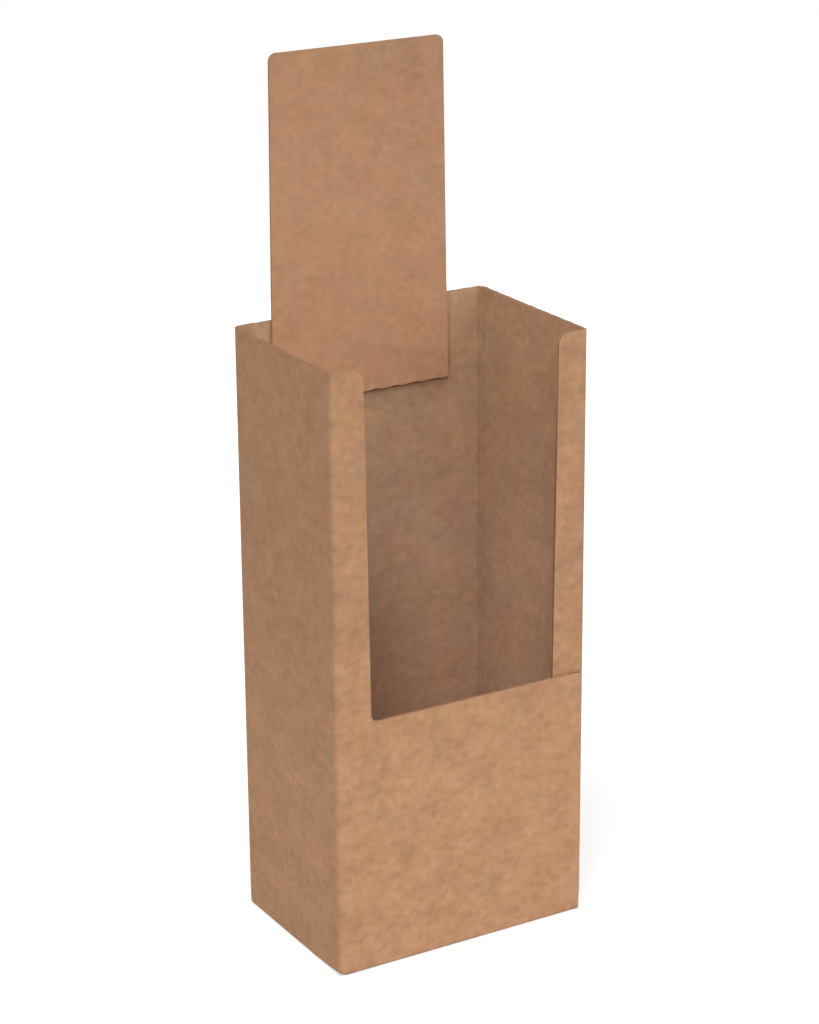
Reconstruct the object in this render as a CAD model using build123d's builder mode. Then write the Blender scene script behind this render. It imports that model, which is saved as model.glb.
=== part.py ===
# A cardboard display stand: a tall box, open at the top and with a window in its front,
# folded from one blank of plain board, and a header card glued inside its back wall.
# Millimetres, +Z up. The origin is on the floor, in the middle of the footprint.
# The front faces -Y, and +X is on the right for someone who looks at the front.
import os
from math import atan2, cos, degrees, radians

from build123d import *

# Board and folds
board = 5.0
fold_inside = 1.5
glue_line = 0.3
cut_overshoot = 1.0
size_tolerance = 0.001

# Box, outside
width = 400.0
depth = 268.0
height = 868.0

# Front panel: a lower panel with one full-height strip on its left
sill_height = 371.0
left_strip_at_top = 49.0
left_strip_at_sill = 54.8
sill_corner = 12.0
panel_setback = 6.0

# Glue flap of the right wall: behind the lower panel, and the window's right strip above it
flap_at_top = 45.2
flap_at_sill = 50.9
flap_foot = 24.0
flap_bevel = 18.0
strip_corner = 16.0

# Bottom flaps: front and back meet in the middle, and the side ones lie glued on top of them
corner_slot = 10.0
corner_relief = 2.5
bottom_seam = 1.5
mitre_gap = 3.0
mitre_run = 60.0
side_flap_reach = 128.0
side_flap_corner = 15.0

# Header card
header_board = 3.0
header_foot_width = 280.4
header_top_width = 269.0
header_tuck = 122.0
header_rise = 366.0
header_shift = -5.9
header_top_corner = 11.0
header_foot_corner = 3.0

# Worked out from the sizes above
fold_outside = fold_inside + board
front_y = -depth / 2
back_y = depth / 2
left_x = -width / 2
right_x = width / 2
panel_end_x = right_x - panel_setback
flap_front_y = front_y + board + glue_line
flap_lean = (flap_at_sill - flap_at_top) / (height - sill_height)
strip_lean = (left_strip_at_sill - left_strip_at_top) / (height - sill_height)
side_flap_slope = degrees(atan2(board + 2 * glue_line, mitre_run - fold_outside))


def flap_width(z):
    """Width of the right wall's glue flap at a height, from the wall's outer face."""
    return flap_at_top + (height - z) * flap_lean


def left_strip_width(z):
    """Width of the front panel's left strip at a height."""
    return left_strip_at_top + (height - z) * strip_lean


def bottom_flap(origin, inward, fold_length, reach, slope, tip_corner):
    """A bottom flap with the bend that joins it to the foot of a wall.

    The wall's outer foot line is at origin, and inward points into the box. The flap's ends
    are mitred beside the flaps of the next walls, and slope lifts it over them, in degrees.
    """
    along = inward.cross(Vector(0, 0, 1))
    half_fold = fold_length / 2
    bend_centre = (fold_outside, fold_outside)
    leaf_length = reach / cos(radians(slope))
    with BuildPart() as flap:
        with BuildSketch(Plane(origin, x_dir=inward, z_dir=along)):
            with BuildLine():
                outside_bend = CenterArc(bend_centre, fold_outside, 180, 90 + slope)
                inside_bend = CenterArc(bend_centre, fold_inside, 180, 90 + slope)
                outside_leaf = PolarLine(outside_bend @ 1, leaf_length, slope)
                inside_leaf = PolarLine(inside_bend @ 1, leaf_length, slope)
                Line(outside_bend @ 0, inside_bend @ 0)
                Line(outside_leaf @ 1, inside_leaf @ 1)
            make_face()
        extrude(amount=half_fold, both=True)
        # Seen from above: straight past the corner slots, then a mitre, then straight again
        foot = origin - Vector(0, 0, cut_overshoot)
        with BuildSketch(Plane(foot, x_dir=inward, z_dir=(0, 0, 1))) as outline:
            with BuildLine():
                Polyline(
                    (-cut_overshoot, 0),
                    (-cut_overshoot, half_fold - corner_slot),
                    (corner_slot - mitre_gap, half_fold - corner_slot),
                    (mitre_run, half_fold - mitre_run - mitre_gap),
                    (reach, half_fold - mitre_run - mitre_gap),
                    (reach, 0),
                )
                mirror(about=Plane.XZ)
            make_face()
            if tip_corner > 0:
                fillet(outline.vertices().group_by(Axis.X)[-1], tip_corner)
        extrude(amount=reach, mode=Mode.INTERSECT)
    return flap.part


# Each wall's foot: the middle of its outer foot line, the way into the box, and its length.
# The right wall starts one board further back, behind the front panel.
front_foot = (Vector(0, front_y, 0), Vector(0, 1, 0), width)
back_foot = (Vector(0, back_y, 0), Vector(0, -1, 0), width)
left_foot = (Vector(left_x, 0, 0), Vector(1, 0, 0), depth)
right_foot = (Vector(right_x, (flap_front_y + back_y) / 2, 0), Vector(-1, 0, 0), back_y - flap_front_y)
end_flap_reach = (depth - bottom_seam) / 2
bottom_flaps = [
    bottom_flap(*front_foot, end_flap_reach, 0, 0),
    bottom_flap(*back_foot, end_flap_reach, 0, 0),
    bottom_flap(*left_foot, side_flap_reach, side_flap_slope, side_flap_corner),
    bottom_flap(*right_foot, side_flap_reach, side_flap_slope, side_flap_corner),
]

# The folded blank
flap_widest = flap_width(0)
lap_y = front_y + board + glue_line / 2
with BuildPart() as folded_body:
    # The walls seen from above: front panel, left, back and right walls, and the glue flap
    with BuildSketch(Plane.XY.offset(corner_relief)):
        with BuildLine():
            outside = FilletPolyline(
                (panel_end_x, front_y),
                (left_x, front_y),
                (left_x, back_y),
                (right_x, back_y),
                (right_x, flap_front_y),
                (right_x - flap_widest, flap_front_y),
                radius=fold_outside,
            )
            inside = FilletPolyline(
                (panel_end_x, front_y + board),
                (left_x + board, front_y + board),
                (left_x + board, back_y - board),
                (right_x - board, back_y - board),
                (right_x - board, flap_front_y + board),
                (right_x - flap_widest, flap_front_y + board),
                radius=fold_inside,
            )
            Line(outside @ 0, inside @ 0)
            Line(outside @ 1, inside @ 1)
        make_face()
    extrude(amount=height - corner_relief)

    # Between the corner slots each wall ends where the bend of its bottom flap begins
    for origin, inward, fold_length in (front_foot, back_foot, left_foot, right_foot):
        with BuildSketch(Plane(origin, x_dir=inward, z_dir=(0, 0, 1))):
            Rectangle(2 * (board + cut_overshoot), fold_length - 2 * corner_slot)
        extrude(amount=fold_outside, mode=Mode.SUBTRACT)

    # Front panel: the window, open above the lower panel and to the right
    with BuildSketch(Plane.XZ.offset(-lap_y)):
        with BuildLine():
            Polyline(
                (left_x + left_strip_at_sill, sill_height),
                (right_x + cut_overshoot, sill_height),
                (right_x + cut_overshoot, height + cut_overshoot),
                (left_x + left_strip_width(height + cut_overshoot), height + cut_overshoot),
                close=True,
            )
        make_face()
    extrude(amount=board + glue_line, mode=Mode.SUBTRACT)

    # Glue flap: its slanted free edge and its bevelled foot
    bevel_z = flap_foot + flap_bevel
    flap_root_x = right_x - fold_outside
    flap_side_x = right_x - flap_widest - cut_overshoot
    with BuildSketch(Plane.XZ.offset(-lap_y)):
        with BuildLine():
            Polyline(
                (flap_side_x, 0),
                (flap_root_x, 0),
                (flap_root_x, flap_foot),
                (right_x - flap_width(bevel_z), bevel_z),
                (right_x - flap_width(height + cut_overshoot), height + cut_overshoot),
                (flap_side_x, height + cut_overshoot),
                close=True,
            )
        make_face()
    extrude(amount=-(board + glue_line), mode=Mode.SUBTRACT)

    for flap in bottom_flaps:
        add(flap)

    # Rounded corners of the window, on the short edges that cross the board
    crossing_edges = folded_body.edges().filter_by(Axis.Y)
    short_edges = crossing_edges.filter_by(lambda edge: abs(edge.length - board) < size_tolerance)
    at_top = short_edges.filter_by_position(Axis.Z, height - size_tolerance, height + size_tolerance)
    fillet(at_top, strip_corner)
    crossing_edges = folded_body.edges().filter_by(Axis.Y)
    at_sill = crossing_edges.filter_by_position(
        Axis.Z, sill_height - size_tolerance, sill_height + size_tolerance
    )
    fillet(at_sill.sort_by(Axis.X)[0], sill_corner)

# The header card, against the inside of the back wall
header_foot_z = height - header_tuck
header_top_z = height + header_rise
with BuildPart() as header_card:
    with BuildSketch(Plane.XZ.offset(board - back_y)) as card:
        with BuildLine():
            Polyline(
                (header_shift - header_foot_width / 2, header_foot_z),
                (header_shift + header_foot_width / 2, header_foot_z),
                (header_shift + header_top_width / 2, header_top_z),
                (header_shift - header_top_width / 2, header_top_z),
                close=True,
            )
        make_face()
        card_corners = card.vertices().group_by(Axis.Y)
        fillet(card_corners[-1], header_top_corner)
        fillet(card_corners[0], header_foot_corner)
    extrude(amount=header_board)

os.makedirs("parts", exist_ok=True)
folded_body.part.label = "folded_body"
header_card.part.label = "header_card"
export_step(folded_body.part, "parts/folded_body.step")
export_step(header_card.part, "parts/header_card.step")
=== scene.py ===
from math import atan2, cos, pi, radians, sin, tan

import bmesh
import bpy
from mathutils import Matrix, Vector


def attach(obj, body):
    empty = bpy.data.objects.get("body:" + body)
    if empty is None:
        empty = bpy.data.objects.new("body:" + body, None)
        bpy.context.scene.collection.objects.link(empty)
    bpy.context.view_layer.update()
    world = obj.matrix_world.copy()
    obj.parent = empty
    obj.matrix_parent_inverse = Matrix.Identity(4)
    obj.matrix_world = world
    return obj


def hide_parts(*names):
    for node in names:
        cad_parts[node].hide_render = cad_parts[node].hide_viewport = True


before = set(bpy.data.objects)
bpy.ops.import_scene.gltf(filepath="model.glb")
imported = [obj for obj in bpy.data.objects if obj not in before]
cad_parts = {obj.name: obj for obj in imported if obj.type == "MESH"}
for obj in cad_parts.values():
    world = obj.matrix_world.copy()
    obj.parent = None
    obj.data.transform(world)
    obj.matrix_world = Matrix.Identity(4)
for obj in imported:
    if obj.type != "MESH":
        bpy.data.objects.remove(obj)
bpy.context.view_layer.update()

# The folded blank, in metres, as the CAD has it but for a narrower mitre gap. Its front is -Y, up is +Z.
BOARD = 0.005
MID = BOARD / 2
FOLD_INSIDE = 0.0015
FOLD_OUTSIDE = FOLD_INSIDE + BOARD
FOLD_RADIUS = FOLD_INSIDE + MID
GLUE_LINE = 0.0003
WIDTH = 0.400
DEPTH = 0.268
HEIGHT = 0.868
SILL = 0.371
STRIP_AT_TOP = 0.0490
STRIP_AT_SILL = 0.0548
SILL_CORNER = 0.012
PANEL_SETBACK = 0.006
FLAP_AT_TOP = 0.0452
FLAP_AT_SILL = 0.0509
FLAP_FOOT = 0.024
FLAP_BEVEL = 0.018
STRIP_CORNER = 0.016
CORNER_SLOT = 0.010
CORNER_RELIEF = 0.0025
SLOT_SLIT = 0.0006
BOTTOM_SEAM = 0.0015
MITRE_GAP = 0.0012
MITRE_RUN = 0.060
SIDE_REACH = 0.128
SIDE_CORNER = 0.015
SIDE_SLOPE = atan2(BOARD + 2 * GLUE_LINE, MITRE_RUN - FOLD_OUTSIDE)
END_REACH = (DEPTH - BOTTOM_SEAM) / 2

# Small forms of the board itself. Each wave is its height, its length and where it starts.
LINER = 0.0004
CORE_RECESS = 0.0005
CREASE_BEFORE = 0.0055
CREASE_AFTER = 0.0055
CREASE_HALF = 0.0022
CREASE_DEPTH = 0.0005
CREASE_STEPS = 3
TIGHT_SHARE = 0.85
OUTER_TIGHT = (0.0, 0.2, 0.0, 0.5)
TIGHT_RISE = 0.020
FOLD_DIP = 0.0007
FOLD_DIP_REACH = 0.009
SOFT_CORNER_RISE = 0.0050
SOFT_CORNER_REACH = (0.013, 0.085, 0.015)
SUPPORT = 0.0005
FLUTE_PITCH = 0.0086
FOLD_STEPS = 10
EDGE_WAVES = ((0.00018, 0.031, 0.3), (0.00016, 0.019, 1.7), (0.00012, 0.0113, 4.1))
EDGE_MEAN_WEAR = 0.0001
EDGE_STEP = 0.003

# The meshes: steps in a rounded quarter turn, and how sharp an edge or an outline's corner is
ROUND_STEPS = 12
FEWEST_ROUND_STEPS = 4
SHARP_ANGLE = radians(40)
SHARPEST_SHARE = 0.4
SAME_PLACE = 1e-7

# Header card
HEADER_BOARD = 0.003
HEADER_FOOT_WIDTH = 0.2804
HEADER_TOP_WIDTH = 0.2690
HEADER_TUCK = 0.122
HEADER_RISE = 0.366
HEADER_SHIFT = -0.0059
HEADER_TOP_CORNER = 0.011
HEADER_FOOT_CORNER = 0.003
CURL = 0.0013
CURL_REACH = 0.045
CURL_WAVES = ((0.0009, 0.0315, 4.94), (0.0003, 0.017, 2.1))
SIDE_CURL = 0.0018
SIDE_CURL_REACH = 0.050
SIDE_CURL_RISE = 0.025
CURL_LIFT = 0.45
WAVE_LIFT = 0.8
WAVE_POWER = 4
CARD_LINES = 90
CURL_LINES = 12
CURL_LINE_POWER = 1.5
SIDE_CURL_LINES = 4


class Value:
    """A number that varies over a surface. Python's operators on it add Math nodes."""

    def __init__(self, finish, socket):
        self.finish = finish
        self.socket = socket

    def math(self, operation, *operands):
        numbers = dict(enumerate(operands))
        return self.finish.node("Math", {"operation": operation}, numbers)["Value"]

    def __add__(self, other):
        return self.math("ADD", self, other)

    def __radd__(self, other):
        return self.math("ADD", other, self)

    def __sub__(self, other):
        return self.math("SUBTRACT", self, other)

    def __rsub__(self, other):
        return self.math("SUBTRACT", other, self)

    def __mul__(self, other):
        return self.math("MULTIPLY", self, other)

    def __rmul__(self, other):
        return self.math("MULTIPLY", other, self)

    def __abs__(self):
        return self.math("ABSOLUTE", self)

    def wave(self):
        return self.math("SINE", self)

    def fade(self, start, end):
        """0 at start and 1 at end, smooth in between."""
        inputs = {"Value": self, "From Min": start, "From Max": end}
        return self.finish.node("MapRange", {"interpolation_type": "SMOOTHSTEP"}, inputs)["Result"]


class Finish:
    """The look of a material or of the world, and the one way to add nodes to it."""

    def __init__(self, owner):
        self.owner = owner
        self.owner.use_nodes = True
        self.tree = self.owner.node_tree
        self.tree.nodes.clear()

    def node(self, kind, settings=None, inputs=None):
        made = self.tree.nodes.new("ShaderNode" + kind)
        for key, setting in (settings or {}).items():
            setattr(made, key, setting)
        for key, given in (inputs or {}).items():
            if isinstance(given, Value):
                self.tree.links.new(given.socket, made.inputs[key])
            else:
                made.inputs[key].default_value = given
        return {output.name: Value(self, output) for output in made.outputs if output.enabled}

    def output(self, shader):
        self.node("OutputMaterial", None, {"Surface": shader})
        return self.owner

    def blank(self, stretch=(1.0, 1.0, 1.0), shift=(0.0, 0.0, 0.0)):
        """The place on the flat blank: along it, up it and through the board, in metres."""
        place = self.node("Attribute", {"attribute_name": "blank"})["Vector"]
        scaled = self.node("VectorMath", {"operation": "MULTIPLY"}, {0: place, 1: stretch})["Vector"]
        return self.node("VectorMath", {"operation": "ADD"}, {0: scaled, 1: shift})["Vector"]

    def noise(self, size, detail, roughness, stretch=(1.0, 1.0, 1.0), shift=(0.0, 0.0, 0.0)):
        """Soft clouds of about this size, as a number around 0."""
        inputs = {
            "Vector": self.blank(stretch, shift),
            "Scale": 1 / size,
            "Detail": detail,
            "Roughness": roughness,
        }
        return self.node("TexNoise", None, inputs)["Fac"] - 0.5

    def tint(self, colour, red, green, blue):
        """The colour with each of its channels multiplied by a number."""
        factors = self.node("CombineColor", None, {"Red": red, "Green": green, "Blue": blue})["Color"]
        settings = {"data_type": "RGBA", "blend_type": "MULTIPLY"}
        return self.node("Mix", settings, {0: 1.0, 6: (*colour, 1.0), 7: factors})["Result"]

    def bump(self, strength, height):
        """The normal of a relief, whose height is in metres."""
        inputs = {"Strength": strength, "Distance": 1.0, "Height": height}
        return self.node("Bump", None, inputs)["Normal"]

    def matt(self, colour, roughness, normal, gloss):
        """A matt shader, set as the material's output."""
        inputs = {
            "Base Color": colour,
            "Roughness": roughness,
            "Normal": normal,
            "Specular IOR Level": gloss,
        }
        return self.output(self.node("BsdfPrincipled", None, inputs)["BSDF"])


# The way round the blank, seen from above: straight runs, and right turns at the folds
HEADING_AT_START = pi
FOLD_LENGTH = FOLD_RADIUS * pi / 2
FLAP_FRONT_Y = -DEPTH / 2 + BOARD + GLUE_LINE
PLAN_START = Vector((WIDTH / 2 - PANEL_SETBACK, -DEPTH / 2 + MID))
RUN_FRONT = WIDTH - PANEL_SETBACK - FOLD_OUTSIDE
RUN_LEFT = DEPTH - 2 * FOLD_OUTSIDE
RUN_BACK = WIDTH - 2 * FOLD_OUTSIDE
RUN_RIGHT = DEPTH / 2 - FLAP_FRONT_Y - 2 * FOLD_OUTSIDE
RUN_FLAP = 0.100
PLAN = [
    (RUN_FRONT, 0.0), (FOLD_LENGTH, pi / 2),
    (RUN_LEFT, 0.0), (FOLD_LENGTH, pi / 2),
    (RUN_BACK, 0.0), (FOLD_LENGTH, pi / 2),
    (RUN_RIGHT, 0.0), (FOLD_LENGTH, pi / 2),
    (RUN_FLAP, 0.0),
]


def plan_starts():
    """Where each run and fold of the plan starts along the blank."""
    starts = [0.0]
    for length, _ in PLAN:
        starts.append(starts[-1] + length)
    return starts


STARTS = plan_starts()
FOLDS = [(STARTS[i], STARTS[i + 1]) for i in range(1, len(PLAN), 2)]
FLAP_START = STARTS[-2]
BACK_MIDDLE = STARTS[4] + RUN_BACK / 2


def plan_point(along):
    """The point of the board's middle layer seen from above, and the way out of the box."""
    point = PLAN_START.copy()
    heading = HEADING_AT_START
    left = along
    for index, (length, turn) in enumerate(PLAN):
        last = index == len(PLAN) - 1
        step = left if last else min(left, length)
        if turn:
            centre = point + FOLD_RADIUS * Vector((sin(heading), -cos(heading)))
            heading -= turn * step / length
            point = centre - FOLD_RADIUS * Vector((sin(heading), -cos(heading)))
        else:
            point = point + step * Vector((cos(heading), sin(heading)))
        left -= step
        if left <= 0:
            break
    return point, Vector((-sin(heading), cos(heading)))


# The top edge's height along the blank: the back wall's is cut high and the right wall's low
RIM = [
    (STARTS[3], 0.0), (STARTS[4], 0.0009), (STARTS[5] - 0.002, 0.0009),
    (STARTS[6] + 0.006, -0.0010), (STARTS[6] + 0.09, -0.0009), (STARTS[7], 0.0),
]


def flap_length(reach, slope):
    """Length of a bottom flap on the flat blank, from its bend's start to this far in."""
    straight = (reach - FOLD_OUTSIDE - FOLD_RADIUS * sin(slope)) / cos(slope)
    return FOLD_RADIUS * (pi / 2 + slope) + straight


# Each bottom flap: its middle along the blank, half its foot, its reach, its slope and its tip's corners
BOTTOM_FLAPS = [
    (WIDTH / 2 - PANEL_SETBACK, WIDTH / 2, END_REACH, 0.0, 0.0),
    (STARTS[2] + RUN_LEFT / 2, DEPTH / 2, SIDE_REACH, SIDE_SLOPE, SIDE_CORNER),
    (STARTS[4] + RUN_BACK / 2, WIDTH / 2, END_REACH, 0.0, 0.0),
    (STARTS[6] + RUN_RIGHT / 2, RUN_RIGHT / 2 + FOLD_OUTSIDE, SIDE_REACH, SIDE_SLOPE, SIDE_CORNER),
]


def pressed(along, fold, side):
    """The way from a fold's round to a sharp fold: side is 1 for its outside and -1 for its inside."""
    start, end = fold
    (first, first_out), (last, last_out) = plan_point(start), plan_point(end)
    point, out = plan_point(along)
    first, last = first + side * MID * first_out, last + side * MID * last_out
    corner = first + (FOLD_RADIUS + side * MID) * last_out
    share = (along - start) / (end - start)
    near, part = (first, 1 - 2 * share) if share < 0.5 else (last, 2 * share - 1)
    return corner.lerp(near, part) - (point + side * MID * out)


def inner_move(along):
    """How the pressed inner liner lies off its plain place: tight folds, each with a crease."""
    for start, end in FOLDS:
        if start < along < end:
            return TIGHT_SHARE * pressed(along, (start, end), -1)
        groove = 1 - abs(along - start + CREASE_BEFORE) / CREASE_HALF
        if groove > 0:
            return plan_point(along)[1] * CREASE_DEPTH * groove
    return Vector((0.0, 0.0))


def outer_move(along, up):
    """How the outer liner lies off its plain place where a fold is pressed sharper."""
    for fold, tight in zip(FOLDS, OUTER_TIGHT):
        if tight and fold[0] < along < fold[1]:
            return min(1.0, (up - FOLD_OUTSIDE) / TIGHT_RISE) * tight * pressed(along, fold, 1)
    return Vector((0.0, 0.0))


def fold_dip(along):
    """How much lower the top edge is at a fold, where the flutes are crushed."""
    nearest = min(abs(along - (start + end) / 2) for start, end in FOLDS)
    share = max(0.0, 1 - nearest / FOLD_DIP_REACH)
    return FOLD_DIP * share * share * (3 - 2 * share)


def waves(along, parts):
    """The height here of waves that run along the sheet."""
    return sum(height * sin(2 * pi * along / length + start) for height, length, start in parts)


def edge_wear(along):
    """How much lower the top edges and the sill are here: the cut is a little uneven."""
    return EDGE_MEAN_WEAR + waves(along, EDGE_WAVES)


def rim_rise(along):
    """How much higher a panel's top edge is cut than the others."""
    for (here, rise), (there, next_rise) in zip(RIM, RIM[1:]):
        if here <= along <= there:
            return rise + (next_rise - rise) * (along - here) / (there - here)
    return 0.0


def bend_slope(along):
    """How far past level the board is bent at its foot: at the flaps, and at the corners between."""
    for middle, half, _, slope, _ in BOTTOM_FLAPS:
        if abs(along - middle) <= half - CORNER_SLOT + SLOT_SLIT / 4:
            return slope
    return 0.0


def softened(place):
    """The front left corner's foot is worn round: it lies a little off the floor."""
    shares = []
    for away, reach in zip((place.x + WIDTH / 2, place.y + DEPTH / 2, place.z), SOFT_CORNER_REACH):
        shares.append(max(0.0, 1 - max(0.0, away) / reach))
    rise = SOFT_CORNER_RISE * shares[0] * shares[1] ** 2 * shares[2]
    return Vector((place.x, place.y, place.z + rise))


def folded(along, up, through):
    """The place in the box of a point of the flat blank."""
    point, out = plan_point(along)
    if up < FOLD_OUTSIDE:
        turn_length = FOLD_RADIUS * (pi / 2 + bend_slope(along))
        run = FOLD_OUTSIDE - up
        angle = min(run, turn_length) / FOLD_RADIUS
        straight = max(0.0, run - turn_length)
        radius = FOLD_RADIUS + through
        inward = FOLD_RADIUS - radius * cos(angle) + straight * sin(angle)
        height = FOLD_OUTSIDE - radius * sin(angle) - straight * cos(angle)
        place = point - out * inward
        return softened(Vector((place.x, place.y, height)))
    place = point + out * through
    if through < 0:
        place = place + inner_move(along) * min(1.0, -through / MID)
    else:
        place = place + outer_move(along, up) * min(1.0, through / MID)
    if up > HEIGHT - 2 * CORE_RECESS:
        up += rim_rise(along) - fold_dip(along) - edge_wear(along)
    elif abs(up - SILL) < 2 * CORE_RECESS and along < RUN_FRONT - STRIP_AT_SILL:
        up -= edge_wear(along)
    return softened(Vector((place.x, place.y, up)))


def rounded(corners):
    """The outline with its corners rounded: each corner is along, up and a radius."""
    outline = []
    count = len(corners)
    for index, (x, y, radius) in enumerate(corners):
        here = Vector((x, y))
        if radius <= 0:
            outline.append(here)
            continue
        before = (Vector(corners[index - 1][:2]) - here).normalized()
        after = (Vector(corners[(index + 1) % count][:2]) - here).normalized()
        half_angle = before.angle(after) / 2
        bisector = (before + after).normalized()
        centre = here + bisector * radius / sin(half_angle)
        reach = radius / tan(half_angle)
        first = here + before * reach - centre
        sweep = first.angle_signed(here + after * reach - centre)
        steps = max(FEWEST_ROUND_STEPS, round(abs(sweep) / (pi / 2) * ROUND_STEPS))
        for step in range(steps + 1):
            turn = Matrix.Rotation(-sweep * step / steps, 2)
            outline.append(centre + turn @ first)
    return outline


def flap_corners(middle, half, reach, slope, tip_corner):
    """A bottom flap's corners on the blank, from its high end to its low end."""
    side = half - CORNER_SLOT
    narrow = half - MITRE_RUN - MITRE_GAP
    mitre_start = FOLD_OUTSIDE - flap_length(CORNER_SLOT - MITRE_GAP, slope)
    mitre_end = FOLD_OUTSIDE - flap_length(MITRE_RUN, slope)
    tip = FOLD_OUTSIDE - flap_length(reach, slope)
    high = [
        (middle + side + SLOT_SLIT, CORNER_RELIEF, 0),
        (middle + side + SLOT_SLIT, FOLD_OUTSIDE, 0),
        (middle + side, FOLD_OUTSIDE, 0),
        (middle + side, mitre_start, 0),
        (middle + narrow, mitre_end, 0),
        (middle + narrow, tip, tip_corner),
    ]
    low = [(2 * middle - along, up, radius) for along, up, radius in reversed(high)]
    return high + low


def blank_outline():
    """The whole blank's outline, starting at the foot of the front panel's cut edge."""
    strip_edge = WIDTH - PANEL_SETBACK
    flap_edge = FLAP_START - FOLD_OUTSIDE
    lean = (FLAP_AT_SILL - FLAP_AT_TOP) / (HEIGHT - SILL)
    bevel_top = FLAP_FOOT + FLAP_BEVEL
    corners = [
        (0.0, CORNER_RELIEF, 0),
        (0.0, SILL, 0),
        (strip_edge - STRIP_AT_SILL, SILL, SILL_CORNER),
        (strip_edge - STRIP_AT_TOP, HEIGHT, STRIP_CORNER),
        (flap_edge + FLAP_AT_TOP, HEIGHT, STRIP_CORNER),
        (flap_edge + FLAP_AT_TOP + lean * (HEIGHT - bevel_top), bevel_top, 0),
        (FLAP_START, FLAP_FOOT, 0),
        (FLAP_START, CORNER_RELIEF, 0),
    ]
    for flap in reversed(BOTTOM_FLAPS):
        corners += flap_corners(*flap)
    return rounded(corners)


def cut_lines_along():
    """Where the blank is divided along its length, so that it can turn at the folds."""
    lines = []
    for start, end in FOLDS:
        lines += [start + (end - start) * step / FOLD_STEPS for step in range(FOLD_STEPS + 1)]
        lines += [start - SUPPORT, end + SUPPORT]
        crease = range(-CREASE_STEPS - 1, CREASE_STEPS + 2)
        lines += [start - CREASE_BEFORE + CREASE_HALF * step / CREASE_STEPS for step in crease]
    near = [round(line / EDGE_STEP) for line in lines]
    lines += [EDGE_STEP * step for step in range(1, int(FLAP_START / EDGE_STEP)) if step not in near]
    return sorted(lines)


def cut_lines_up():
    """Where the blank is divided up its height, so that the bottom flaps can turn."""
    lines = {round(FOLD_OUTSIDE + SUPPORT, 7), round(FOLD_OUTSIDE + TIGHT_RISE, 7)}
    for slope in (0.0, SIDE_SLOPE):
        turn_length = FOLD_RADIUS * (pi / 2 + slope)
        for step in range(FOLD_STEPS + 1):
            lines.add(round(FOLD_OUTSIDE - turn_length * step / FOLD_STEPS, 7))
        lines.add(round(FOLD_OUTSIDE - turn_length - SUPPORT, 7))
    return sorted(lines)


def flat_sheet(outline, lines_along, lines_up):
    """The flat outline divided along the given lines: its points, its faces and its rim.

    The rim gives, for each point of the outline, the next point round it.
    """
    bm = bmesh.new()
    whole = bm.faces.new([bm.verts.new((p.x, p.y, 0.0)) for p in outline])
    whole.normal_update()
    if whole.normal.z < 0:
        whole.normal_flip()
    for lines, way in ((lines_along, (1, 0, 0)), (lines_up, (0, 1, 0))):
        for line in lines:
            bmesh.ops.bisect_plane(
                bm, geom=bm.verts[:] + bm.edges[:] + bm.faces[:], dist=SAME_PLACE,
                plane_co=Vector(way) * line, plane_no=way,
            )
    bm.verts.index_update()
    points = [Vector((v.co.x, v.co.y)) for v in bm.verts]
    faces = [[v.index for v in face.verts] for face in bm.faces]
    rim = {}
    for edge in bm.edges:
        if len(edge.link_faces) == 1:
            loop = edge.link_loops[0]
            rim[loop.vert.index] = loop.link_loop_next.vert.index
    bm.free()
    return points, faces, rim


def inward_offsets(points, rim):
    """For each point of the outline, the way into the sheet, for a recess one metre deep."""
    came_from = {after: before for before, after in rim.items()}
    offsets = {}
    for index, after in rim.items():
        sides = []
        for a, b in ((came_from[index], index), (index, after)):
            way = (points[b] - points[a]).normalized()
            sides.append(Vector((-way.y, way.x)))
        share = max(SHARPEST_SHARE, 1 + sides[0].dot(sides[1]))
        offsets[index] = (sides[0] + sides[1]) / share
    return offsets


OUTER_FACE, INNER_FACE, CUT_EDGE = range(3)


def board_piece(name, sheet, thickness, place, materials):
    """A piece of board from a flat sheet: two liners, and a cut edge whose core lies back."""
    points, faces, rim = sheet
    half = thickness / 2
    under_liner = half - LINER
    offsets = inward_offsets(points, rim)
    blank = [(p.x, p.y, half) for p in points] + [(p.x, p.y, -half) for p in points]
    count = len(points)
    mesh_faces = [(face, OUTER_FACE) for face in faces]
    mesh_faces += [([count + i for i in reversed(face)], INNER_FACE) for face in faces]
    ring = {}
    for index, offset in offsets.items():
        core = points[index] + offset * CORE_RECESS
        ring[index] = [index] + [len(blank) + step for step in range(4)] + [count + index]
        blank.append((points[index].x, points[index].y, under_liner))
        blank.append((core.x, core.y, under_liner))
        blank.append((core.x, core.y, -under_liner))
        blank.append((points[index].x, points[index].y, -under_liner))
    for index, after in rim.items():
        here, there = ring[index], ring[after]
        for step in range(len(here) - 1):
            quad = [here[step], here[step + 1], there[step + 1], there[step]]
            mesh_faces.append((quad, CUT_EDGE))
    mesh = bpy.data.meshes.new(name)
    mesh.from_pydata([place(*b) for b in blank], [], [f for f, _ in mesh_faces])
    for polygon, (_, finish) in zip(mesh.polygons, mesh_faces):
        polygon.material_index = finish
    where = mesh.attributes.new("blank", "FLOAT_VECTOR", "POINT")
    where.data.foreach_set("vector", [number for b in blank for number in b])
    bm = bmesh.new()
    bm.from_mesh(mesh)
    bmesh.ops.recalc_face_normals(bm, faces=bm.faces)
    bm.to_mesh(mesh)
    bm.free()
    for material in materials:
        mesh.materials.append(material)
    mesh.shade_smooth()
    mesh.set_sharp_from_angle(angle=SHARP_ANGLE)
    piece = bpy.data.objects.new(name, mesh)
    bpy.context.scene.collection.objects.link(piece)
    return piece


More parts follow.
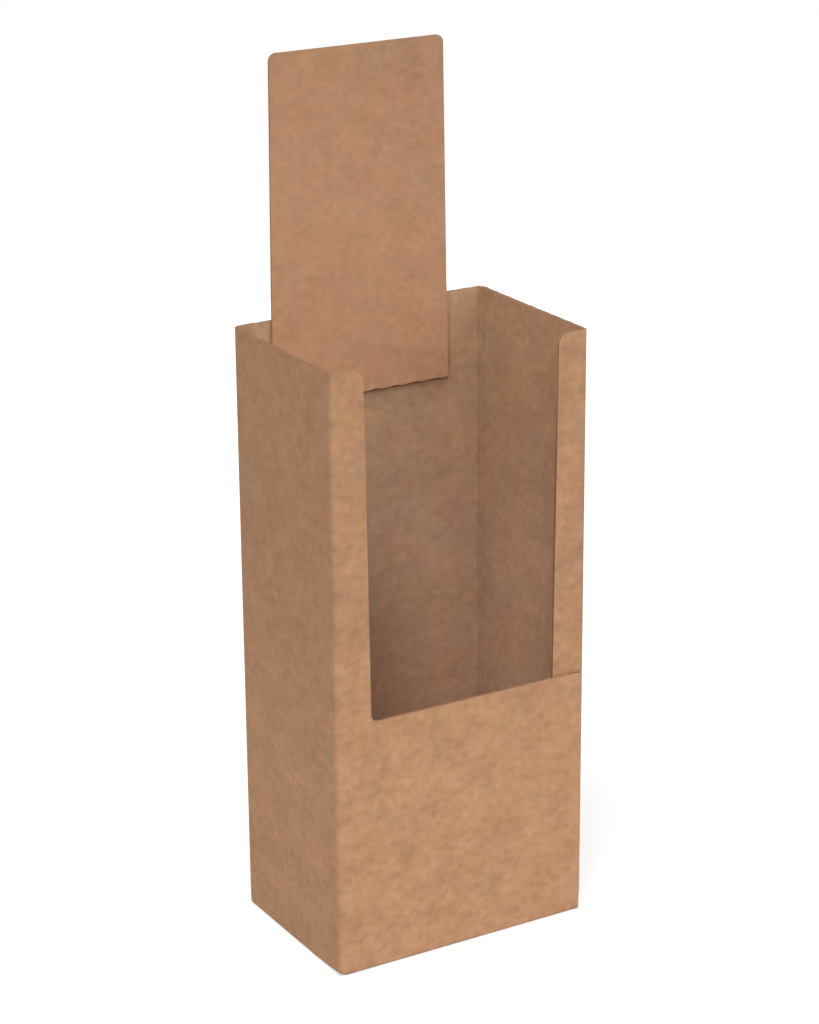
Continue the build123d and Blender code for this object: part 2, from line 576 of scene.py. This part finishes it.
# The liner's mottle: its layers, how strong each is, and its specks
CLOUDS = {"size": 0.045, "detail": 2.2, "roughness": 0.85, "stretch": (0.85, 0.95, 1.0)}
BLOTS = {"size": 0.011, "detail": 1.0, "roughness": 0.6, "stretch": (0.85, 0.95, 1.0)}
GRAIN = {"size": 0.004, "detail": 2.0, "roughness": 0.7, "stretch": (0.7, 0.6, 1.0)}
FIBRES = {"size": 0.0022, "detail": 2.0, "roughness": 0.6, "stretch": (0.25, 1.0, 1.0)}
BLOTS_START = 1.9
CLOUD_SHARE = 0.78
BLOT_SHARE = 0.58
GRAIN_SHARE = 0.20
FIBRE_SHARE = 0.15
SPECK_SPACING = 0.022
SPECK_REACH = (0.02, 0.05)
SPECK_SHADE = 0.18

# Its changes of hue
WARMTH = {"size": 0.070, "detail": 1.4, "roughness": 0.6}
COOLNESS = {"size": 0.065, "detail": 1.4, "roughness": 0.6}
WARMTH_START = 3.1
COOLNESS_START = 7.7
WARM_RED = 0.11
WARM_LOSS = 0.065
COOL_BLUE = 0.17
# How much redder and less blue the painted shadow round the header card is
CARD_SHADE_RED = 0.45
CARD_SHADE_BLUE = 0.25

# Its relief, in metres, and its gloss
CLOUD_RELIEF = 0.00005
FIBRE_RELIEF = 0.00002
GRAIN_RELIEF = 0.00003
FLUTE_RELIEF = 0.00001
BUMP_STRENGTH = 0.8
LINER_ROUGH = 0.86
GRAIN_ROUGH = 0.2
LINER_GLOSS = 0.25

# Painted shade on the inside: at the creases and folds, in the corners, and a painted shadow round the
# header card; and painted light on its low part
CREASE_SHADE = 0.10
CREASE_CORE = 0.0008
FOLD_SHADE = 0.10
FOLD_BLUR = 0.001
NOOK_SHADE = 0.15
HIGH_NOOK_SHADES = (0.05, 0.13, 0.03, 0.02)
NOOK_REACH = 0.105
LOW_PART = (0.48, 0.66)
LOW_LIGHT = 0.045
UNDER_CARD_SHADE = 0.44
UNDER_CARD_DROP = 0.0018
UNDER_CARD_REACH = (0.001, 0.0028)
WANDER = {"size": 0.014, "detail": 1.0, "roughness": 0.5, "stretch": (1.0, 0.0, 0.0)}
WANDER_SHARE = 1.5
UNDER_CARD_MEAN = 0.8
CARD_SIDE_BLUR = 0.003
CARD_SIDE_SPILL = 0.002
BELOW_CARD_SHADE = 0.085
BELOW_CARD_REACH = 0.09
BESIDE_CARD_SHADE = 0.14
BESIDE_CARD_GAP = 0.0048
BESIDE_CARD_REACH = (0.001, 0.0035)
BESIDE_CARD_FOOT = 0.006
BESIDE_CARD_TOP = 0.04

# Painted shade: the header's front is painted a little darker towards its right side and its top
FALL_ALONG = (-0.04, 0.10)
FALL_UP = (0.92, 1.02)


def card_shadow(f, along, up):
    """Painted shadow of the header card on the back wall: under its foot and beside its right side."""
    left_edge = BACK_MIDDLE + HEADER_SHIFT - HEADER_FOOT_WIDTH / 2
    right_edge = left_edge + HEADER_FOOT_WIDTH
    foot = HEIGHT - HEADER_TUCK
    wander = f.noise(**WANDER)
    line = 1 - abs(up - (foot - UNDER_CARD_DROP)).fade(*UNDER_CARD_REACH)
    line = line * (UNDER_CARD_MEAN + WANDER_SHARE * wander)
    under = UNDER_CARD_SHADE * line + BELOW_CARD_SHADE * up.fade(foot - BELOW_CARD_REACH, foot)
    from_left = along.fade(left_edge, left_edge + CARD_SIDE_BLUR)
    under = under * (from_left - along.fade(right_edge - CARD_SIDE_BLUR, right_edge + CARD_SIDE_SPILL))
    beside = 1 - abs(along - (right_edge + BESIDE_CARD_GAP)).fade(*BESIDE_CARD_REACH)
    from_foot = up.fade(foot, foot + BESIDE_CARD_FOOT)
    beside = beside * (from_foot - up.fade(HEIGHT - BESIDE_CARD_TOP, HEIGHT))
    return under + BESIDE_CARD_SHADE * beside


def liner_finish(
    name, colour, strength, hue, shift, band, low_blue=0.0, calm=1.0, fall=0.0, creases=()
):
    """Kraft liner: soft clouds of pulp, a slight change of hue, fibres and a few specks.

    Strength is the mottle's, and calm its share on the side panels. The band is how light the
    slow lighter and darker bands up the height are, how far apart, and a height where one is
    lightest; on the inside and the header these bands are painted light and shade. Fall is how
    much painted shade darkens the header at its top right, and creases are the folds at which
    shade is painted on the inside, with painted shade in the corners, painted light on the low
    part and a painted shadow round the header card.
    """
    f = Finish(bpy.data.materials.new(name))
    parts = f.node("SeparateXYZ", None, {0: f.blank()})
    clouds = f.noise(shift=shift, **CLOUDS)
    blots = f.noise(shift=(BLOTS_START, *shift[1:]), **BLOTS)
    grain = f.noise(shift=shift, **GRAIN)
    fibres = f.noise(shift=shift, **FIBRES)
    warm = f.noise(shift=(WARMTH_START, *shift[1:]), **WARMTH)
    cool = f.noise(shift=(COOLNESS_START, *shift[1:]), **COOLNESS)
    side_panels = parts["X"].fade(*FOLDS[0]) - parts["X"].fade(*FOLDS[3])
    mottle = strength * (1 - (1 - calm) * side_panels)
    layers = CLOUD_SHARE * clouds + BLOT_SHARE * blots + GRAIN_SHARE * grain + FIBRE_SHARE * fibres
    light = 1 + mottle * layers
    # Slow lighter and darker bands up the height: painted light and shade on the inside and the header
    band_light, band_pitch, band_height = band
    light = light + band_light * ((parts["Y"] - band_height) * (2 * pi / band_pitch) + pi / 2).wave()
    # Painted shade on the header's top right
    light = light - fall * parts["X"].fade(*FALL_ALONG) * parts["Y"].fade(*FALL_UP)
    cell = {"Vector": f.blank(shift=shift), "Scale": 1 / SPECK_SPACING, "Randomness": 1.0}
    speck = f.node("TexVoronoi", {"feature": "F1"}, cell)
    light = light - SPECK_SHADE * (1 - speck["Distance"].fade(*SPECK_REACH))
    # The inside's low part, which gets painted light and stronger painted shade in the corners
    low_part = 1 - parts["Y"].fade(*LOW_PART)
    painted_card_shade = 0.0
    for (start, end), high_shade in zip(creases, HIGH_NOOK_SHADES):
        middle = (start + end) / 2
        crease = start - CREASE_BEFORE
        # Painted shade along each crease, and over the fold beyond it
        light = light - CREASE_SHADE * (1 - abs(parts["X"] - crease).fade(CREASE_CORE, CREASE_HALF))
        far_side = parts["X"].fade(middle, end + CREASE_AFTER)
        light = light - FOLD_SHADE * (parts["X"].fade(crease - FOLD_BLUR, crease + FOLD_BLUR) - far_side)
        # Painted shade in the corners, stronger on the low part
        nook = 1 - abs(parts["X"] - middle).fade(0.0, NOOK_REACH)
        light = light - nook * (NOOK_SHADE * low_part + high_shade)
    if creases:
        # Painted shadow of the header card on the back wall, and painted light on the inside's low part
        painted_card_shade = card_shadow(f, parts["X"], parts["Y"])
        light = light + LOW_LIGHT * low_part - painted_card_shade
    red = light + WARM_RED * hue * warm + CARD_SHADE_RED * painted_card_shade
    green = light - WARM_LOSS * hue * warm
    blue = light - WARM_LOSS * hue * warm + COOL_BLUE * hue * cool
    blue = blue + low_blue * low_part - CARD_SHADE_BLUE * painted_card_shade
    tinted = f.tint(colour, red, green, blue)
    flutes = (parts["X"] * (2 * pi / FLUTE_PITCH)).wave()
    height = clouds * CLOUD_RELIEF + fibres * FIBRE_RELIEF + grain * GRAIN_RELIEF + flutes * FLUTE_RELIEF
    bump = f.bump(BUMP_STRENGTH, height)
    return f.matt(tinted, LINER_ROUGH - GRAIN_ROUGH * grain, bump, LINER_GLOSS)


# The cut edge: its ragged cut, the fluted layer and the liners' ends
RAGGED_CUT = {"size": 0.0025, "detail": 2.0, "roughness": 0.6}
RAGGED_SHIFT = 0.8
RAGGED_SHARE = 0.4
CREST_GAP = 0.0002
LAYER_REACH = (0.00025, 0.0006)
LINER_BLUR = 0.0001
# The hollows between the flutes are painted in shade, the flutes and the liners' ends lighter
CORE_LIGHT = 0.66
SOLID_LIGHT = 0.32
SOLID_RELIEF = 0.0003
EDGE_GREEN = 0.97
EDGE_BLUE = 0.95
EDGE_ROUGH = 0.92
SOLID_ROUGH = 0.1
EDGE_GLOSS = 0.15

# Painted light and shade on the cut edge: where it faces up, is high or low, or lies in the lap's
# painted shadow at the ledge
FACING_UP = (0.4, 0.9)
HIGH_PART = (0.66, 0.80)
TOP_MARGIN = 0.05
STRIP_BLUR = 0.002
LEDGE_SHADE = 0.45
LEDGE_REACH = 0.033


def edge_finish(name, colour, thickness, pitch, lights, shift, ledge_shade=0.0):
    """The cut edge: the ends of two liners, and the fluted layer between them in painted shade, with
    light and shade painted by which way it faces and how high it is.
    """
    f = Finish(bpy.data.materials.new(name))
    parts = f.node("SeparateXYZ", None, {0: f.blank()})
    through = parts["Z"]
    ragged = f.noise(shift=shift, **RAGGED_CUT)
    under_liner = thickness / 2 - LINER
    flute = (parts["X"] * (2 * pi / pitch) + ragged * RAGGED_SHIFT).wave() * (under_liner - CREST_GAP)
    layer = 1 - abs(through - flute).fade(*LAYER_REACH)
    liner_end = abs(through).fade(under_liner - LINER_BLUR, under_liner)
    solid = layer.math("MAXIMUM", layer, liner_end)
    # Painted light and shade by which way the edge faces and how high it is
    side_low, side_high, up_low, up_high, up_front = lights
    facing = f.node("SeparateXYZ", None, {0: f.node("NewGeometry")["Normal"]})["Z"].fade(*FACING_UP)
    front_strip = 1 - parts["X"].fade(RUN_FRONT - STRIP_BLUR, RUN_FRONT + STRIP_BLUR)
    at_top = parts["Y"].fade(SILL + TOP_MARGIN, HEIGHT - TOP_MARGIN)
    up_light = up_low + (up_high - up_low + (up_front - up_high) * front_strip) * at_top
    side_light = side_low + (side_high - side_low) * parts["Y"].fade(*HIGH_PART)
    open_light = side_light + (up_light - side_light) * facing
    # Painted shadow on the up-facing cut edge at the ledge before the glue flap
    ledge = (1 - parts["X"].fade(0.0, LEDGE_REACH)) * facing * ledge_shade
    light = (CORE_LIGHT + SOLID_LIGHT * solid) * (1 + RAGGED_SHARE * ragged) * open_light * (1 - ledge)
    tinted = f.tint(colour, light, light * EDGE_GREEN, light * EDGE_BLUE)
    bump = f.bump(BUMP_STRENGTH, solid * SOLID_RELIEF)
    return f.matt(tinted, EDGE_ROUGH - SOLID_ROUGH * solid, bump, EDGE_GLOSS)


# The camera: where it stands, what it looks at and its small roll
AZIMUTH = radians(30.486)
ELEVATION = radians(19.641)
ROLL = radians(-0.449)
CAMERA_DISTANCE = 4.0081
CAMERA_TARGET = Vector((-0.0043, 0.0004, 0.6054))
LENS = 102.23

back = Vector((-sin(AZIMUTH) * cos(ELEVATION), -cos(AZIMUTH) * cos(ELEVATION), sin(ELEVATION)))
level_right = (-back).cross(Vector((0, 0, 1))).normalized()
level_up = level_right.cross(-back)
right = cos(ROLL) * level_right + sin(ROLL) * level_up
up = -sin(ROLL) * level_right + cos(ROLL) * level_up
camera = bpy.data.objects.new("camera", bpy.data.cameras.new("camera"))
camera.data.lens = LENS
stand = Matrix.Translation(CAMERA_TARGET + back * CAMERA_DISTANCE)
camera.matrix_world = stand @ Matrix((right, up, back)).transposed().to_4x4()
bpy.context.scene.collection.objects.link(camera)
bpy.context.scene.camera = camera

# Colours of the liners and of the cut edges
OUTER_KRAFT = (0.448, 0.243, 0.131)
INNER_KRAFT = (0.4875, 0.298, 0.1785)
HEADER_KRAFT = (0.488, 0.2615, 0.1477)
EDGE_KRAFT = (0.430, 0.245, 0.138)

# How light the cut edges are painted as the light falls on them: sideways low and high, then up at the
# sill, the top and the front strip
BODY_EDGE_LIGHT = (0.80, 1.20, 1.14, 0.97, 1.25)
HEADER_EDGE_LIGHT = (1.05, 1.05, 1.0, 1.0, 1.0)
HEADER_FLUTE_PITCH = 0.0065

# Slow lighter and darker bands up the height: how light, how far apart, and a height where one is
# lightest. On the inside and the header they are painted light and shade
OUTER_BAND = (0.025, 0.55, 0.82)
INNER_BAND = (0.07, 0.55, 0.39)
HEADER_BAND = (0.05, 0.60, 0.93)

# The folded body
outer_kraft = liner_finish(
    "outer kraft liner", OUTER_KRAFT, strength=0.71, hue=1.0, shift=(0.0, 0.0, 0.0),
    band=OUTER_BAND, calm=0.8,
)
inner_kraft = liner_finish(
    "inner kraft liner", INNER_KRAFT, strength=0.56, hue=1.5, shift=(5.3, 1.7, 0.0),
    band=INNER_BAND, low_blue=0.055, creases=FOLDS,
)
body_edge = edge_finish(
    "cut edge of the body", EDGE_KRAFT, BOARD, FLUTE_PITCH, BODY_EDGE_LIGHT,
    shift=(0.0, 0.0, 0.0), ledge_shade=LEDGE_SHADE,
)
body_sheet = flat_sheet(blank_outline(), cut_lines_along(), cut_lines_up())
body = board_piece("folded_board", body_sheet, BOARD, folded, [outer_kraft, inner_kraft, body_edge])
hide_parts("folded_body")
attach(body, "root")

# The header card
header_kraft = liner_finish(
    "header kraft liner", HEADER_KRAFT, strength=0.50, hue=1.15, shift=(9.1, 4.2, 0.0),
    band=HEADER_BAND, fall=0.05,
)
header_edge = edge_finish(
    "cut edge of the header", EDGE_KRAFT, HEADER_BOARD, HEADER_FLUTE_PITCH, HEADER_EDGE_LIGHT,
    shift=(2.0, 0.0, 0.0),
)


def foot_share(up):
    """1 at the card's foot and 0 where its curl begins."""
    return max(0.0, 1 - (up - HEIGHT + HEADER_TUCK) / CURL_REACH)


def foot_wave(along, up):
    """How the card's foot waves."""
    return waves(along, CURL_WAVES) * foot_share(up) ** WAVE_POWER


def foot_curl(along, up):
    """How far the card stands off the back wall: near its foot and at its right side."""
    share = foot_share(up)
    right_edge = HEADER_SHIFT + HEADER_FOOT_WIDTH / 2
    aside = max(0.0, 1 - (right_edge - along) / SIDE_CURL_REACH)
    below = min(1.0, max(0.0, (HEIGHT + SIDE_CURL_RISE - up) / (2 * SIDE_CURL_RISE)))
    side = SIDE_CURL * aside * aside * below * below * (3 - 2 * below) * (1 - share * share)
    return CURL * share * share + foot_wave(along, up) + side


def header_place(along, up, through):
    """The card's front face looks at -Y, and its back lies on the back wall."""
    back_of_card = DEPTH / 2 - BOARD - foot_curl(along, up)
    rise = CURL_LIFT * foot_curl(along, up) + WAVE_LIFT * foot_wave(along, up)
    return Vector((along, back_of_card - HEADER_BOARD / 2 - through, up + rise))


header_corners = [
    (HEADER_SHIFT - HEADER_FOOT_WIDTH / 2, HEIGHT - HEADER_TUCK, HEADER_FOOT_CORNER),
    (HEADER_SHIFT + HEADER_FOOT_WIDTH / 2, HEIGHT - HEADER_TUCK, HEADER_FOOT_CORNER),
    (HEADER_SHIFT + HEADER_TOP_WIDTH / 2, HEIGHT + HEADER_RISE, HEADER_TOP_CORNER),
    (HEADER_SHIFT - HEADER_TOP_WIDTH / 2, HEIGHT + HEADER_RISE, HEADER_TOP_CORNER),
]
curl_along = []
for step in range(1, CARD_LINES):
    curl_along.append(HEADER_SHIFT + HEADER_FOOT_WIDTH * (step / CARD_LINES - 0.5))
curl_up = []
for step in range(1, CURL_LINES + 1):
    curl_up.append(HEIGHT - HEADER_TUCK + CURL_REACH * (step / CURL_LINES) ** CURL_LINE_POWER)
for step in range(2 * SIDE_CURL_LINES + 1):
    curl_up.append(HEIGHT + SIDE_CURL_RISE * (step / SIDE_CURL_LINES - 1))
header_sheet = flat_sheet(rounded(header_corners), curl_along, curl_up)
header_finishes = [header_kraft, header_kraft, header_edge]
header = board_piece("header_board_card", header_sheet, HEADER_BOARD, header_place, header_finishes)
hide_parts("header_card")
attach(header, "root")

# The floor: white to the camera, and a plain pale grey in the light that it throws back
FLOOR_HALF = 3.0
FLOOR_GREY = (0.80, 0.80, 0.80, 1.0)
FLOOR_SHADED = (0.45, 0.45, 0.45, 1.0)
WHITE = (1.0, 1.0, 1.0, 1.0)
FLOOR_GLOW = 0.62
UNDER_BOX_START = 0.012
UNDER_BOX_END = 0.008

floor_mesh = bpy.data.meshes.new("floor")
floor_corners = [(x * FLOOR_HALF, y * FLOOR_HALF, 0.0) for x, y in ((-1, -1), (1, -1), (1, 1), (-1, 1))]
floor_mesh.from_pydata(floor_corners, [], [(0, 1, 2, 3)])
floor = bpy.data.objects.new("floor", floor_mesh)
bpy.context.scene.collection.objects.link(floor)
paper = Finish(bpy.data.materials.new("white floor"))
seen = paper.node("LightPath")["Is Camera Ray"]
plain = paper.node("BsdfDiffuse", None, {"Color": FLOOR_GREY})["BSDF"]
shaded = paper.node("BsdfDiffuse", None, {"Color": FLOOR_SHADED})["BSDF"]
glow = paper.node("Emission", None, {"Color": WHITE, "Strength": FLOOR_GLOW})["Emission"]
seen_floor = paper.node("AddShader", None, {0: shaded, 1: glow})["Shader"]
floor_place = paper.node("SeparateXYZ", None, {0: paper.node("NewGeometry")["Position"]})
beside_box = abs(floor_place["X"]).fade(WIDTH / 2 - UNDER_BOX_START, WIDTH / 2 - UNDER_BOX_END)
before_box = abs(floor_place["Y"]).fade(DEPTH / 2 - UNDER_BOX_START, DEPTH / 2 - UNDER_BOX_END)
open_floor = beside_box.math("MAXIMUM", beside_box, before_box)
chosen_floor = {0: seen * open_floor, 1: plain, 2: seen_floor}
floor_mesh.materials.append(paper.output(paper.node("MixShader", None, chosen_floor)["Shader"]))

# The white surroundings, which give little light themselves
AMBIENT_STRENGTH = 0.07

world = bpy.data.worlds.new("plain white room")
bpy.context.scene.world = world
room = Finish(world)
ambient = room.node("Background", None, {"Color": WHITE, "Strength": AMBIENT_STRENGTH})["Background"]
backdrop = room.node("Background", None, {"Color": WHITE, "Strength": 1.0})["Background"]
seen = room.node("LightPath")["Is Camera Ray"]
chosen = room.node("MixShader", None, {0: seen, 1: ambient, 2: backdrop})["Shader"]
room.node("OutputWorld", None, {"Surface": chosen})

# The lamps: degrees to the right of the front, degrees above the floor, and strength
LAMP_WIDTH = radians(29.0)
LAMP_DISTANCE = 5
LAMPS = {
    "low right lamp": (45.0, 12.0, 0.52),
    "front left lamp": (-30.0, 40.0, 0.825),
    "front right lamp": (45.0, 40.0, 0.73),
    "high left lamp": (-50.0, 65.0, 2.40),
    "back lamp": (160.0, 35.0, 0.54),
}


def soft_lamp(name, azimuth, elevation, strength):
    """A large soft lamp, far off: so many degrees to the right of the front and above the floor."""
    side, rise = radians(azimuth), radians(elevation)
    way = Vector((sin(side) * cos(rise), -cos(side) * cos(rise), sin(rise)))
    lamp = bpy.data.lights.new(name, "SUN")
    lamp.angle = LAMP_WIDTH
    lamp.energy = strength
    holder = bpy.data.objects.new(name, lamp)
    turn = way.to_track_quat("Z", "Y").to_matrix().to_4x4()
    holder.matrix_world = Matrix.Translation(way * LAMP_DISTANCE) @ turn
    bpy.context.scene.collection.objects.link(holder)


for lamp_name, lamp_values in LAMPS.items():
    soft_lamp(lamp_name, *lamp_values)
bpy.context.scene.view_settings.view_transform = "Standard"
